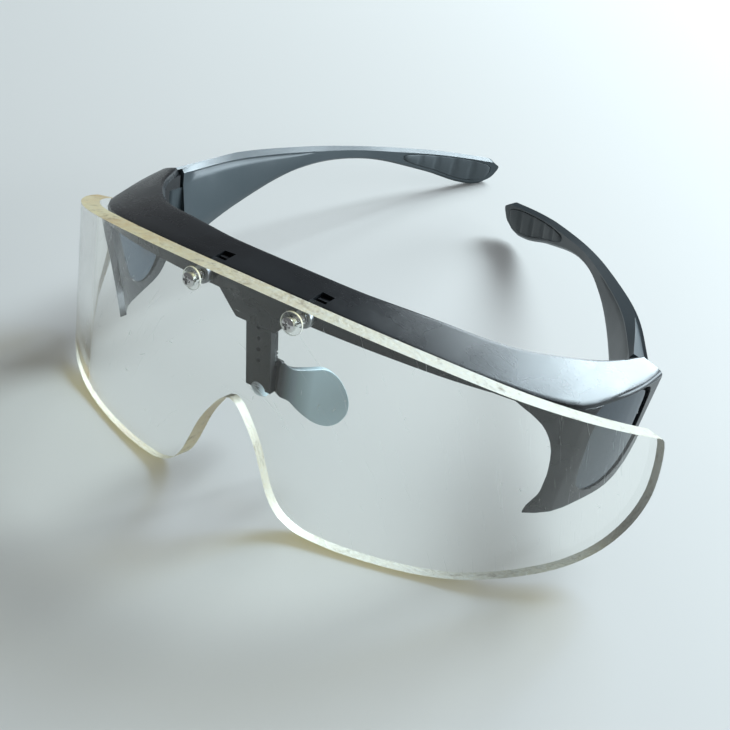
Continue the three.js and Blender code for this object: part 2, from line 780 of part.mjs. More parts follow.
// Rows of the inner face from the top down, as drop below the top line and step back from the face
function templeRows(share, height) {
  const fade = Math.max(1 - share / templeReliefEndShare, 0);
  const width = Math.sqrt(fade);
  const groove = Math.max(templeGroove * width, templeEdge);
  const fit = Math.min(height / (templeFlange + groove + 4 * templeEdge), 1);
  const bevel = templeTopBevel * fit;
  const widen = Math.min(share / templeSlopeFullShare, 1);
  const slopeShare = templeSlopeStartShare + (templeSlopeShare - templeSlopeStartShare) * widen;
  const slope = (templeInnerAt(share) + templeOuter - templeEdge) * slopeShare;
  const flange = templeFlange * fit;
  const edge = templeEdge * fit;
  const grooveEnd = flange + groove * fit;
  const facet = Math.max(Math.min(templeFacetHeight * fade, height / 2), 3 * edge);
  const back = templeFacet * fade;
  const deep = share * templeLength > templeBossLength ? templeGrooveDepth * width : 0;
  return [
    [0, slope], [bevel, 0], [flange, 0], [flange + templeGrooveStep * fit, deep],
    [(flange + grooveEnd) / 2, deep / 2], [grooveEnd, 0], [height - facet, 0],
    [height - edge, back], [height, edge + back],
  ];
}

// Share of the length at a column: even steps, then closer ones round the tip
function templeShareAt(u) {
  const start = templeStart / templeLength;
  const round = 1 - templeTipRound / templeLength;
  const turn = 1 - templeTipColumns / templeColumns;
  if (u <= turn) return start + (round - start) * (u / turn);
  return round + (1 - round) * Math.sin(((u - turn) / (1 - turn)) * (Math.PI / 2));
}

// Top and bottom lines at a share, with the tip's raised and rounded end
function templeEnds(share) {
  const line = templeAt(share);
  const endShare = Math.max((share - templeTipStartShare) / (1 - templeTipStartShare), 0);
  const rise = templeTipRiseShare * endShare ** templeTipPower;
  const low = line.bottom + (line.top - line.bottom) * rise;
  const into = Math.max(1 + (share - 1) * (templeLength / templeTipRound), 0);
  const full = Math.max(Math.sqrt(Math.max(1 - into * into, 0)), templeTipEndShare);
  const middle = (line.top + low) / 2;
  return { bow: line.bow, top: middle + (line.top - middle) * full, low: middle + (low - middle) * full };
}

// One blade, straight in its own frame: y along it, x outwards, z along the hinge
function templeBlade() {
  const last = templeRows(0, 1).length - 1;
  return body(bentBlock(templeColumns, 1, last, (u, v, w) => {
    const share = templeShareAt(u);
    const line = templeEnds(share);
    const row = Math.round(w * last);
    const [below, step] = templeRows(share, line.top - line.low)[last - row];
    const fall = v > 0.5 && row === last ? Math.min(templeTopFall, (line.top - line.low) * templeFallShare) : 0;
    const z = line.top - below - fall;
    const edge = row === 0 || row === last ? templeEdge : 0;
    const x = v > 0.5 ? templeOuter - edge : step - templeInnerAt(share);
    return new THREE.Vector3(x - line.bow - templeLeanAt(share, z), share * templeLength, z);
  }));
}

// The tongue that reaches round the hinge pin
function templeTongue() {
  let solid = body(bar(tongueRadius, tongueBottom, tongueTop, turnSegments));
  const reach = templeStart + 2 * overlapStep;
  solid = solid.add(block([-tongueRadius, 0, tongueBottom], [templeOuter - templeEdge, reach, tongueTop]));
  const low = tongueBottom - cutMargin;
  const high = tongueTop + cutMargin;
  return solid.subtract(body(bar(hingePinRadius + runningGap, low, high, smallTurnSegments)));
}

// The grip pad's block on the inner face near the tip: grown all round, sunk, scaled and stood proud
function gripBlock(grow, depth, raise, proud) {
  return bentBlock(gripColumns, 1, 2, (u, v, w) => {
    const run = gripEndShare - gripStartShare;
    const share = gripStartShare - grow / templeLength + (run + 2 * grow / templeLength) * u;
    const line = templeEnds(share);
    const ends = Math.sqrt(Math.max(1 - Math.abs(2 * u - 1) ** gripEndPower, 0));
    const middle = (line.top + line.low) / 2;
    const full = Math.max((line.top - line.low) / 2 - gripEdge + grow, gripEdge / 2);
    const half = full * (gripEndHeightShare + (1 - gripEndHeightShare) * ends);
    const scale = (u * gripScales) % 1;
    const crown = Math.sqrt(Math.max(1 - (2 * scale - 1) ** gripScalePower, 0));
    const relief = proud + raise * crown * (w === 0.5 ? 1 : gripRimShare);
    const inner = templeInnerAt(share);
    const z = middle + half * (2 * w - 1);
    const x = v > 0.5 ? depth - inner : -inner - relief;
    return new THREE.Vector3(x - line.bow - templeLeanAt(share, z), share * templeLength, z);
  });
}

// Places a temple's own frame at its hinge, folded in by an angle
function templePlace(side, fold) {
  const hingeX = shelfHalfWidth - hingeInset;
  const hingeZ = -archDrop(shelfHalfWidth) - hingeDrop;
  const place = new THREE.Matrix4().makeTranslation(side * hingeX, shelfEndY - hingeBack, hingeZ);
  place.multiply(new THREE.Matrix4().makeRotationX(-templeCant));
  place.multiply(new THREE.Matrix4().makeRotationZ(side * fold));
  if (side < 0) place.multiply(new THREE.Matrix4().makeScale(-1, 1, 1));
  return place;
}

function placedHinge(geometry, side, fold) {
  return facedOut(geometry.clone().applyMatrix4(templePlace(side, fold)));
}

function temple() {
  const recess = body(gripBlock(gripGap, gripDepth + gripGap, 0, cutMargin));
  return shapeOf(templeBlade().add(templeTongue()).subtract(recess));
}

function grip() {
  return shapeOf(body(gripBlock(0, gripDepth, gripRaise, 0)));
}

function hingePin() {
  return shapeOf(body(bar(hingePinRadius, pinBottom, pinTop, smallTurnSegments)));
}

// A named piece with its finish
function piece(name, geometry, finish) {
  geometry.computeVertexNormals();
  const mesh = new THREE.Mesh(geometry, new THREE.MeshStandardMaterial(finish));
  mesh.name = name;
  return mesh;
}

// Lowest point of a shape once it is tilted about x
function lowest(geometry, tilt) {
  const p = geometry.attributes.position;
  const at = new THREE.Vector3();
  const low = new THREE.Vector3(0, 0, Infinity);
  for (let i = 0; i < p.count; i += 1) {
    at.fromBufferAttribute(p, i).applyAxisAngle(new THREE.Vector3(1, 0, 0), tilt);
    if (at.z < low.z) low.copy(at);
  }
  return low;
}

// Tilt and lift that set the shield's lobes and the far arm's tip on one level
function restOn(fore, aft) {
  const passes = 6;
  let tilt = 0;
  for (let i = 0; i < passes; i += 1) {
    const front = lowest(fore, tilt);
    const rear = lowest(aft, tilt);
    tilt -= Math.atan2(rear.z - front.z, rear.y - front.y);
  }
  return { tilt, lift: -Math.min(lowest(fore, tilt).z, lowest(aft, tilt).z) };
}

const group = new THREE.Group();
group.name = 'xray_protective_glasses';
const brow = new THREE.Group();
const shieldShape = frontShield();
const sides = [[-1, farFold], [1, nearFold]];
const bladeShape = temple();
const gripShape = grip();

brow.add(piece('frame_front', frameFront(), finishes.satinBlack));
brow.add(piece('front_shield', shieldShape, finishes.clearSheet));
brow.add(piece('nose_piece', nosePiece(), finishes.satinBlack));
for (const [side, fold] of sides) {
  const hand = side < 0 ? 'right' : 'left';
  brow.add(piece(`shield_screw_${hand}`, screw(side), finishes.chromeSteel));
  brow.add(piece(`shield_washer_${hand}`, washer(side), finishes.clearWasher));
  brow.add(piece(`shield_spacer_${hand}`, spacer(side), finishes.greySteel));
  brow.add(piece(`shield_nut_${hand}`, nut(side), finishes.greySteel));
  brow.add(piece(`side_window_${hand}`, windowPlate(side), finishes.smokePlate));
  brow.add(piece(`temple_${hand}`, placedHinge(bladeShape, side, fold), finishes.satinBlack));
  brow.add(piece(`grip_pad_${hand}`, placedHinge(gripShape, side, fold), finishes.gripBlack));
  brow.add(piece(`hinge_pin_${hand}`, placedHinge(hingePin(), side, 0), finishes.greySteel));
}
const rest = restOn(shieldShape, placedHinge(bladeShape, -1, farFold));
brow.rotation.x = rest.tilt;
brow.position.z = rest.lift;
group.add(brow);
const middle = new THREE.Box3().setFromObject(group, true).getCenter(new THREE.Vector3());
brow.position.x -= middle.x;
brow.position.y -= middle.y;

export default group;
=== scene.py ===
"""X-ray protective glasses: a clear front sheet screwed to a black brow frame, with side arms and a
sliding nose piece."""

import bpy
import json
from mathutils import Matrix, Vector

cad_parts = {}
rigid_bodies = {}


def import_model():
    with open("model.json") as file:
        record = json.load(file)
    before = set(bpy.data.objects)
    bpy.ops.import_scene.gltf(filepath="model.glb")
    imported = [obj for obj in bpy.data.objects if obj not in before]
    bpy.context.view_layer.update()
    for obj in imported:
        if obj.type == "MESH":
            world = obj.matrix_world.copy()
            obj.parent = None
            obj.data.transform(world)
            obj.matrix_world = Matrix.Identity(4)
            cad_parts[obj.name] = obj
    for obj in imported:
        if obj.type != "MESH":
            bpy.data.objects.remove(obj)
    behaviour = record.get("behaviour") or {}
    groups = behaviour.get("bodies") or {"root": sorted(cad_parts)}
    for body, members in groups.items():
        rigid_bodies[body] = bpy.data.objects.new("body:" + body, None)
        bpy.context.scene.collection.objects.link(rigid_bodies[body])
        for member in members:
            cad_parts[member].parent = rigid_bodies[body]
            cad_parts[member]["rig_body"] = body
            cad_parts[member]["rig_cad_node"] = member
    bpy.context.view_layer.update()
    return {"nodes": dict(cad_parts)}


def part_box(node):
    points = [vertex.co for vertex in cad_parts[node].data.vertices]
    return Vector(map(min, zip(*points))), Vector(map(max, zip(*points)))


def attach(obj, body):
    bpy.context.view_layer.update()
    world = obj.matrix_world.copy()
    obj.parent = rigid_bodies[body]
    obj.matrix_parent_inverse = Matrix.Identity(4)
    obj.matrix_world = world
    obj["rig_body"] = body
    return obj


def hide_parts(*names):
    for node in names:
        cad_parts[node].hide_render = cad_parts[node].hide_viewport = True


bl_info = {
    "name": "X-ray protective glasses",
    "version": (1, 0, 0),
    "blender": (4, 5, 0),
    "location": "View3D > Sidebar > Glasses",
    "description": "Builds the finished pieces of the protective glasses around their packed solids",
    "category": "Add Mesh",
}

import json
import math

import bpy
from mathutils import Vector

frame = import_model()

MM = 0.001
SIDES = ("left", "right")

# Clean copies: points closer than WELD are joined, ground flatter than FLAT_ANGLE becomes one face,
# edges sharper than ROUND_ANGLE are rounded, and those sharper than SHARP_ANGLE stay crisp in shading
WELD = 0.002 * MM
FLAT_ANGLE = math.radians(0.4)
ROUND_ANGLE = math.radians(35.0)
SHEET_ROUND_ANGLE = math.radians(50.0)
SHARP_ANGLE = math.radians(32.0)

# The clear sheet: arcs of its plan, its lean, and the reach of a screw hole round its washer's middle
SHEET_MIDDLE_RADIUS = 125.7 * MM
SHEET_END_RADIUS = 51.8 * MM
SHEET_MIDDLE_HALF = 52.4 * MM
SHEET_LEAN = math.radians(7.6)
HOLE_REACH = 2.0 * MM

# A face of the sheet that looks less than this share through its thickness is on the sawn edge, and a
# face of a washer that is further than this from its middle is on the rim, which is painted pale as a
# highlight
SAWN_SHARE = 0.45
WASHER_RIM = 2.36 * MM

# Finishes that a user has no need to change
SHEET_IOR = 1.49
WASHER_IOR = 1.47
WASHER_TINT = (0.94, 0.95, 0.93, 1.0)
RIM_HIGHLIGHT = (0.92, 0.92, 0.90, 1.0)
RIM_HIGHLIGHT_DULL = (0.80, 0.80, 0.76, 1.0)
# Pale of the saw marks, also the painted highlight at the lamps' end of the sheet's edge
SAWN_PALE_AND_HIGHLIGHT = (0.60, 0.60, 0.56, 1.0)
SAWN_DIRT = (0.16, 0.10, 0.06, 1.0)
BRIGHT_STEEL_DULL = (0.55, 0.55, 0.56, 1.0)
GREY_STEEL_DULL = (0.22, 0.22, 0.24, 1.0)
BLACK_STEEL = (0.030, 0.031, 0.034, 1.0)
BLACK_STEEL_DULL = (0.015, 0.015, 0.017, 1.0)
FLOOR_SHADE = 0.98
RUB_RADIUS = 0.4 * MM
STEEL_DEPTH = 0.006 * MM
SAW_DEPTH = 0.06 * MM

# The nose piece is black up to the first of these distances from its middle, and from the second on its
# pads carry a pale blue painted highlight. The sheet's edge has no amber at the third and is palest
# there, a painted highlight on the lamps' side, towards the wearer's left, and the most amber at the
# fourth, towards the wearer's right.
PAD_HIGHLIGHT_START = 4.5 * MM
PAD_HIGHLIGHT_FULL = 7.5 * MM
EDGE_HIGHLIGHT_END = 45.0 * MM
EDGE_DEEP_AMBER_END = -30.0 * MM

# The photograph's camera: frame and focal length in pixels, sensor in millimetres, turn in degrees
PHOTO_WIDTH = 730.0
PHOTO_FOCAL = 1274.0
SENSOR_WIDTH = 36.0
CAMERA_PLACE = (0.13980, -0.25040, 0.17798)
CAMERA_TURN = (56.2872, -3.7824, 35.9542)
CAMERA_NEAR = 0.01
CAMERA_FAR = 50.0

# Lamps: name, place, size, power and colour
LAMP_AIM = (0.0, 0.0, 0.03)
LAMPS = (
    ("window_lamp", (0.275, 1.095, 0.790), (0.56, 0.46), 17.0, (0.74, 0.91, 1.0)),
    ("wide_lamp", (0.103, 1.183, 0.742), (1.02, 0.50), 17.0, (0.80, 0.93, 1.0)),
    ("low_lamp", (1.82, 1.86, 0.49), (1.90, 0.76), 68.0, (0.76, 0.91, 1.0)),
    ("side_lamp", (1.15, 0.15, 0.36), (0.70, 0.45), 4.0, (0.80, 0.92, 1.0)),
)
WORLD_COLOUR = (0.93, 0.96, 1.0, 1.0)
WORLD_STRENGTH = 0.17
FLOOR_LEVEL = -0.2 * MM


# Sizes and colours that a user may change
class GlassesSizes(bpy.types.PropertyGroup):
    moulding_round: bpy.props.FloatProperty(
        name="Moulding edge round", description="Width of the rounding on the black mouldings' edges",
        default=0.22 * MM, min=0.0, unit="LENGTH", precision=5)
    arm_round: bpy.props.FloatProperty(
        name="Arm edge round", description="Width of the rounding on the arms' edges",
        default=0.30 * MM, min=0.0, unit="LENGTH", precision=5)
    sheet_round: bpy.props.FloatProperty(
        name="Sheet edge round", description="Width of the polished rounding round the clear sheet",
        default=0.35 * MM, min=0.0, unit="LENGTH", precision=5)
    metal_round: bpy.props.FloatProperty(
        name="Metal edge round", description="Width of the rounding on fixings, pins and side windows",
        default=0.10 * MM, min=0.0, unit="LENGTH", precision=5)
    pad_round: bpy.props.FloatProperty(
        name="Pad edge round", description="Width of the rounding on the grip pads",
        default=0.20 * MM, min=0.0, unit="LENGTH", precision=5)
    grain_size: bpy.props.FloatProperty(
        name="Grain size", description="Size of the fine spark texture on the black mouldings",
        default=0.35 * MM, min=0.00001, unit="LENGTH", precision=5)
    floor_size: bpy.props.FloatProperty(
        name="Floor size", description="Side length of the plain floor",
        default=6.0, min=0.5, unit="LENGTH")


class GlassesColours(bpy.types.PropertyGroup):
    plastic: bpy.props.FloatVectorProperty(
        name="Black plastic", description="Colour of the frame and the nose piece", subtype="COLOR",
        size=4, default=(0.0075, 0.0085, 0.0100, 1.0), min=0.0, max=1.0)
    plastic_worn: bpy.props.FloatVectorProperty(
        name="Worn plastic", description="Colour of the plastic along rubbed edges", subtype="COLOR",
        size=4, default=(0.060, 0.066, 0.072, 1.0), min=0.0, max=1.0)
    arm: bpy.props.FloatVectorProperty(
        name="Arm plastic", description="Satin blue black colour of the side arms", subtype="COLOR",
        size=4, default=(0.027, 0.040, 0.047, 1.0), min=0.0, max=1.0)
    sheet: bpy.props.FloatVectorProperty(
        name="Clear sheet", description="Tint of the clear sheet", subtype="COLOR",
        size=4, default=(0.972, 0.978, 0.955, 1.0), min=0.0, max=1.0)
    sheet_edge: bpy.props.FloatVectorProperty(
        name="Sheet edge", description="Colour of the clear sheet's sawn edge", subtype="COLOR",
        size=4, default=(0.60, 0.51, 0.29, 1.0), min=0.0, max=1.0)
    sheet_amber: bpy.props.FloatVectorProperty(
        name="Sheet edge, amber", description="Deeper colour in patches of the sheet's sawn edge",
        subtype="COLOR", size=4, default=(0.42, 0.22, 0.05, 1.0), min=0.0, max=1.0)
    bright_steel: bpy.props.FloatVectorProperty(
        name="Bright steel", description="Colour of the screws", subtype="COLOR",
        size=4, default=(0.80, 0.80, 0.79, 1.0), min=0.0, max=1.0)
    grey_steel: bpy.props.FloatVectorProperty(
        name="Grey steel", description="Colour of the sleeves and hinge pins", subtype="COLOR",
        size=4, default=(0.33, 0.34, 0.36, 1.0), min=0.0, max=1.0)
    # The nose pads' pale blue is a painted highlight on the black plastic
    pad: bpy.props.FloatVectorProperty(
        name="Nose pads", description="Colour of the nose piece's two frosted pads", subtype="COLOR",
        size=4, default=(0.480, 0.600, 0.640, 1.0), min=0.0, max=1.0)
    window: bpy.props.FloatVectorProperty(
        name="Side window", description="Colour of the plates in the side guards", subtype="COLOR",
        size=4, default=(0.018, 0.034, 0.050, 1.0), min=0.0, max=1.0)
    rubber: bpy.props.FloatVectorProperty(
        name="Grip rubber", description="Colour of the grip pads", subtype="COLOR",
        size=4, default=(0.030, 0.042, 0.048, 1.0), min=0.0, max=1.0)
    floor: bpy.props.FloatVectorProperty(
        name="Floor", description="Colour of the plain floor", subtype="COLOR",
        size=4, default=(0.63, 0.60, 0.57, 1.0), min=0.0, max=1.0)


def sizes():
    return bpy.context.scene.glasses_sizes


def colours():
    return bpy.context.scene.glasses_colours


# Node groups and materials by name, made by the first operator
GROUPS = {}
MATERIALS = {}


# Node groups
def new_group(name, inputs, outputs):
    group = bpy.data.node_groups.new(name, "ShaderNodeTree")
    for label, kind, value in inputs:
        socket = group.interface.new_socket(name=label, in_out="INPUT", socket_type=kind)
        if value is not None:
            socket.default_value = value
    for label, kind in outputs:
        group.interface.new_socket(name=label, in_out="OUTPUT", socket_type=kind)
    start = group.nodes.new("NodeGroupInput")
    end = group.nodes.new("NodeGroupOutput")
    return group, start.outputs, end.inputs


def math_node(tree, operation, first, second=None, clamp=False):
    node = tree.nodes.new("ShaderNodeMath")
    node.operation = operation
    node.use_clamp = clamp
    for socket, value in zip(node.inputs, (first, second)):
        if value is None:
            continue
        if isinstance(value, (int, float)):
            socket.default_value = value
        else:
            tree.links.new(value, socket)
    return node.outputs[0]


def ramp(tree, value, low, high):
    node = tree.nodes.new("ShaderNodeMapRange")
    node.clamp = True
    node.inputs["From Min"].default_value = low
    node.inputs["From Max"].default_value = high
    tree.links.new(value, node.inputs["Value"])
    return node.outputs["Result"]


def noise(tree, vector, scale, detail=2.0, rough=0.5):
    node = tree.nodes.new("ShaderNodeTexNoise")
    node.inputs["Detail"].default_value = detail
    node.inputs["Roughness"].default_value = rough
    tree.links.new(vector, node.inputs["Vector"])
    if isinstance(scale, (int, float)):
        node.inputs["Scale"].default_value = scale
    else:
        tree.links.new(scale, node.inputs["Scale"])
    return node.outputs[0]


def grain_group():
    """Fine spark grain and slow blotches of a moulded surface."""
    group, given, made = new_group(
        "moulded grain",
        [("Vector", "NodeSocketVector", None), ("Scale", "NodeSocketFloat", 2800.0)],
        [("Height", "NodeSocketFloat"), ("Blotch", "NodeSocketFloat"), ("Speck", "NodeSocketFloat")])
    fine = noise(group, given["Vector"], given["Scale"], 3.0, 0.62)
    group.links.new(fine, made["Height"])
    slow = noise(group, given["Vector"], math_node(group, "MULTIPLY", given["Scale"], 0.03), 3.0, 0.55)
    group.links.new(ramp(group, slow, 0.32, 0.68), made["Blotch"])
    cells = group.nodes.new("ShaderNodeTexVoronoi")
    group.links.new(given["Vector"], cells.inputs["Vector"])
    group.links.new(math_node(group, "MULTIPLY", given["Scale"], 0.35), cells.inputs["Scale"])
    group.links.new(ramp(group, cells.outputs["Distance"], 0.16, 0.05), made["Speck"])
    return group


def edge_group():
    """A mask that is 1 along rubbed edges and 0 on flat ground."""
    group, given, made = new_group(
        "rubbed edges",
        [("Vector", "NodeSocketVector", None), ("Radius", "NodeSocketFloat", RUB_RADIUS)],
        [("Mask", "NodeSocketFloat")])
    bevel = group.nodes.new("ShaderNodeBevel")
    bevel.samples = 6
    group.links.new(given["Radius"], bevel.inputs["Radius"])
    place = group.nodes.new("ShaderNodeNewGeometry")
    dot = group.nodes.new("ShaderNodeVectorMath")
    dot.operation = "DOT_PRODUCT"
    group.links.new(bevel.outputs["Normal"], dot.inputs[0])
    group.links.new(place.outputs["Normal"], dot.inputs[1])
    turned = ramp(group, dot.outputs["Value"], 0.985, 0.80)
    broken = ramp(group, noise(group, given["Vector"], 420.0, 4.0, 0.65), 0.38, 0.66)
    group.links.new(math_node(group, "MULTIPLY", turned, broken), made["Mask"])
    return group


def scratch_group():
    """Thin straight scratches in a few directions."""
    group, given, made = new_group(
        "fine scratches",
        [("Vector", "NodeSocketVector", None), ("Scale", "NodeSocketFloat", 60.0)],
        [("Mask", "NodeSocketFloat")])
    total = None
    for turn, stretch in ((0.35, 26.0), (1.25, 34.0), (2.2, 22.0)):
        mapping = group.nodes.new("ShaderNodeMapping")
        mapping.inputs["Rotation"].default_value = (turn, turn * 0.6, turn * 1.7)
        mapping.inputs["Scale"].default_value = (1.0, stretch, 1.0)
        group.links.new(given["Vector"], mapping.inputs["Vector"])
        cells = group.nodes.new("ShaderNodeTexVoronoi")
        cells.feature = "DISTANCE_TO_EDGE"
        group.links.new(mapping.outputs["Vector"], cells.inputs["Vector"])
        group.links.new(given["Scale"], cells.inputs["Scale"])
        line = ramp(group, cells.outputs["Distance"], 0.012, 0.002)
        gate = ramp(group, noise(group, mapping.outputs["Vector"], given["Scale"], 1.0), 0.62, 0.70)
        mark = math_node(group, "MULTIPLY", line, gate)
        total = mark if total is None else math_node(group, "ADD", total, mark, clamp=True)
    group.links.new(total, made["Mask"])
    return group


# Materials
def group_node(tree, group, vector, **values):
    node = tree.nodes.new("ShaderNodeGroup")
    node.node_tree = GROUPS[group]
    tree.links.new(vector, node.inputs["Vector"])
    for label, value in values.items():
        node.inputs[label].default_value = value
    return node.outputs


def shader(name, **values):
    """A new material's tree, its one Principled shader and its object coordinates."""
    material = bpy.data.materials.new(name)
    MATERIALS[name] = material
    material.use_nodes = True
    tree = material.node_tree
    principled = tree.nodes["Principled BSDF"]
    for label, value in values.items():
        principled.inputs[label.replace("_", " ")].default_value = value
    place = tree.nodes.new("ShaderNodeTexCoord")
    return tree, principled, place.outputs["Object"]


def along_x(tree, place):
    split = tree.nodes.new("ShaderNodeSeparateXYZ")
    tree.links.new(place, split.inputs[0])
    return split.outputs["X"]


def mix_colour(tree, factor, first, second):
    node = tree.nodes.new("ShaderNodeMix")
    node.data_type = "RGBA"
    tree.links.new(factor, node.inputs["Factor"])
    for socket, value in ((node.inputs["A"], first), (node.inputs["B"], second)):
        if hasattr(value, "is_linked"):
            tree.links.new(value, socket)
        else:
            socket.default_value = value
    return node.outputs["Result"]


def touched(tree, mask, share, base, other):
    """base, mixed towards other by a share of a mask."""
    return mix_colour(tree, math_node(tree, "MULTIPLY", mask, share), base, other)


def lifted(tree, base, *parts):
    """base plus each mask times its share."""
    total = base
    for mask, share in parts:
        total = math_node(tree, "ADD", math_node(tree, "MULTIPLY", mask, share), total, clamp=True)
    return total


def surface(tree, principled, body, rough, *parts):
    """Gives the shader its colour, if it changes over the surface, and its roughness."""
    if body is not None:
        tree.links.new(body, principled.inputs["Base Color"])
    tree.links.new(lifted(tree, rough, *parts), principled.inputs["Roughness"])


def add_bump(tree, principled, height, depth):
    node = tree.nodes.new("ShaderNodeBump")
    node.inputs["Distance"].default_value = depth
    tree.links.new(height, node.inputs["Height"])
    tree.links.new(node.outputs["Normal"], principled.inputs["Normal"])


def let_lamps_through(tree, principled, tint):
    """Rays from lamps and pale ground pass the clear piece once, so that what is behind it is lit."""
    out = tree.nodes["Material Output"]
    mix = tree.nodes.new("ShaderNodeMixShader")
    clear = tree.nodes.new("ShaderNodeBsdfTransparent")
    clear.inputs["Color"].default_value = tint
    path = tree.nodes.new("ShaderNodeLightPath")
    through = math_node(tree, "MAXIMUM", path.outputs["Is Shadow Ray"], path.outputs["Is Diffuse Ray"])
    tree.links.new(through, mix.inputs["Fac"])
    tree.links.new(principled.outputs["BSDF"], mix.inputs[1])
    tree.links.new(clear.outputs["BSDF"], mix.inputs[2])
    tree.links.new(mix.outputs["Shader"], out.inputs["Surface"])


def plastic(name, base, rough, grain, depth, pads=None):
    """Moulded plastic or rubber, paler along its rubbed edges and scratches, and where pads are given
    with a pale painted highlight on the nose pads.
    """
    worn = colours().plastic_worn
    tree, principled, place = shader(name, Specular_IOR_Level=0.45)
    skin = group_node(tree, "grain", place, Scale=grain)
    rub = group_node(tree, "edges", place, Radius=RUB_RADIUS)
    mark = group_node(tree, "scratches", place, Scale=70.0)
    body = touched(tree, skin["Blotch"], 0.12, base, worn)
    body = touched(tree, rub["Mask"], 0.6, body, worn)
    body = touched(tree, mark["Mask"], 0.25, body, worn)
    # Painted highlight: the nose pads turn pale blue beyond a distance from the middle
    if pads is not None:
        out = math_node(tree, "ABSOLUTE", along_x(tree, place))
        body = mix_colour(tree, ramp(tree, out, PAD_HIGHLIGHT_START, PAD_HIGHLIGHT_FULL), body, pads)
    surface(tree, principled, body, rough, (skin["Blotch"], 0.06), (skin["Speck"], 0.08),
            (mark["Mask"], 0.15))
    add_bump(tree, principled, skin["Height"], depth)


def make_plastics():
    tone = colours()
    even, close = 1.0 / sizes().grain_size, 1.4 / sizes().grain_size
    plastic("black_plastic", tone.plastic, rough=0.25, grain=even, depth=0.012 * MM)
    plastic("arm_plastic", tone.arm, rough=0.33, grain=even, depth=0.012 * MM)
    plastic("nose_plastic_and_pad_highlight", tone.plastic, rough=0.30, grain=even, depth=0.012 * MM, pads=tone.pad)
    plastic("window_plastic", tone.window, rough=0.16, grain=even, depth=0.008 * MM)
    plastic("grip_rubber", tone.rubber, rough=0.40, grain=close, depth=0.02 * MM)


def make_clear_sheet():
    """The sheet's clear faces, with a few scratches."""
    tint = colours().sheet
    tree, principled, place = shader(
        "clear_sheet", Base_Color=tint, Transmission_Weight=1.0, IOR=SHEET_IOR, Specular_IOR_Level=0.3,
        Metallic=0.0)
    skin = group_node(tree, "grain", place, Scale=900.0)
    mark = group_node(tree, "scratches", place, Scale=55.0)
    surface(tree, principled, None, 0.0, (skin["Speck"], 0.06), (mark["Mask"], 0.35))
    let_lamps_through(tree, principled, tint)


def make_sheet_edge():
    """The sheet's sawn edge: straw yellow, amber in patches, with pale saw marks and some dirt, and
    paler towards the wearer's left, on the lamps' side, as a painted highlight.
    """
    tone = colours()
    tree, principled, place = shader(
        "sheet_edge", Transmission_Weight=0.15, IOR=SHEET_IOR, Specular_IOR_Level=0.35, Metallic=0.0)
    skin = group_node(tree, "grain", place, Scale=1500.0)
    painted_light_fade = ramp(tree, along_x(tree, place), EDGE_HIGHLIGHT_END, EDGE_DEEP_AMBER_END)
    slow = ramp(tree, noise(tree, place, 85.0, 5.0, 0.65), 0.40, 0.66)
    saw = ramp(tree, noise(tree, place, 900.0, 3.0, 0.6), 0.35, 0.7)
    dirt = ramp(tree, noise(tree, place, 300.0, 6.0, 0.75), 0.54, 0.68)
    deep = math_node(tree, "MULTIPLY", lifted(tree, 0.18, (painted_light_fade, 0.55)), slow)
    # Painted highlight: the pale share is largest towards the wearer's left, on the lamps' side, and
    # falls towards the wearer's right
    pale = lifted(tree, 0.60, (saw, 0.30), (painted_light_fade, -0.60))
    body = mix_colour(tree, deep, tone.sheet_edge, tone.sheet_amber)
    body = mix_colour(tree, pale, body, SAWN_PALE_AND_HIGHLIGHT)
    body = touched(tree, dirt, 0.60, body, SAWN_DIRT)
    surface(tree, principled, body, 0.34, (skin["Blotch"], 0.14), (saw, 0.16), (dirt, 0.3))
    add_bump(tree, principled, saw, SAW_DEPTH)
    let_lamps_through(tree, principled, tone.sheet_edge)


def make_clear_washer():
    """The washers' clear faces."""
    tree, principled, place = shader(
        "clear_washer", Base_Color=WASHER_TINT, Transmission_Weight=1.0, IOR=WASHER_IOR, Metallic=0.0)
    skin = group_node(tree, "grain", place, Scale=2500.0)
    surface(tree, principled, None, 0.03, (skin["Blotch"], 0.08))
    let_lamps_through(tree, principled, WASHER_TINT)


def metal(name, base, dull, rough):
    """Steel with dull blotches and fine scratches."""
    tree, principled, place = shader(name, Metallic=1.0)
    skin = group_node(tree, "grain", place, Scale=2200.0)
    mark = group_node(tree, "scratches", place, Scale=260.0)
    body = touched(tree, skin["Blotch"], 0.35, base, dull)
    surface(tree, principled, body, rough, (skin["Blotch"], 0.10), (mark["Mask"], 0.2))
    add_bump(tree, principled, skin["Height"], STEEL_DEPTH)


def make_metals():
    tone = colours()
    metal("bright_steel", tone.bright_steel, BRIGHT_STEEL_DULL, rough=0.16)
    metal("grey_steel", tone.grey_steel, GREY_STEEL_DULL, rough=0.38)
    metal("black_steel", BLACK_STEEL, BLACK_STEEL_DULL, rough=0.45)


def make_washer_rim_highlight():
    """The washers' rims, painted pale as a highlight, so that they look frosted."""
    tree, principled, place = shader("washer_rim_highlight", Metallic=0.0)
    skin = group_node(tree, "grain", place, Scale=2500.0)
    body = touched(tree, skin["Blotch"], 0.3, RIM_HIGHLIGHT, RIM_HIGHLIGHT_DULL)
    surface(tree, principled, body, 0.25, (skin["Blotch"], 0.1))


def make_floor_paper():
    """The floor's plain pale paper."""
    tone = colours().floor
    tree, principled, place = shader("floor_paper")
    skin = group_node(tree, "grain", place, Scale=140.0)
    shade = [FLOOR_SHADE * value for value in tone[:3]] + [1.0]
    body = touched(tree, skin["Blotch"], 0.4, tone, shade)
    surface(tree, principled, body, 0.62, (skin["Blotch"], 0.05))


# Mesh helpers
def only(piece):
    """Selects one object and makes it the active one."""
    bpy.ops.object.select_all(action="DESELECT")
    piece.select_set(True)
    bpy.context.view_layer.objects.active = piece


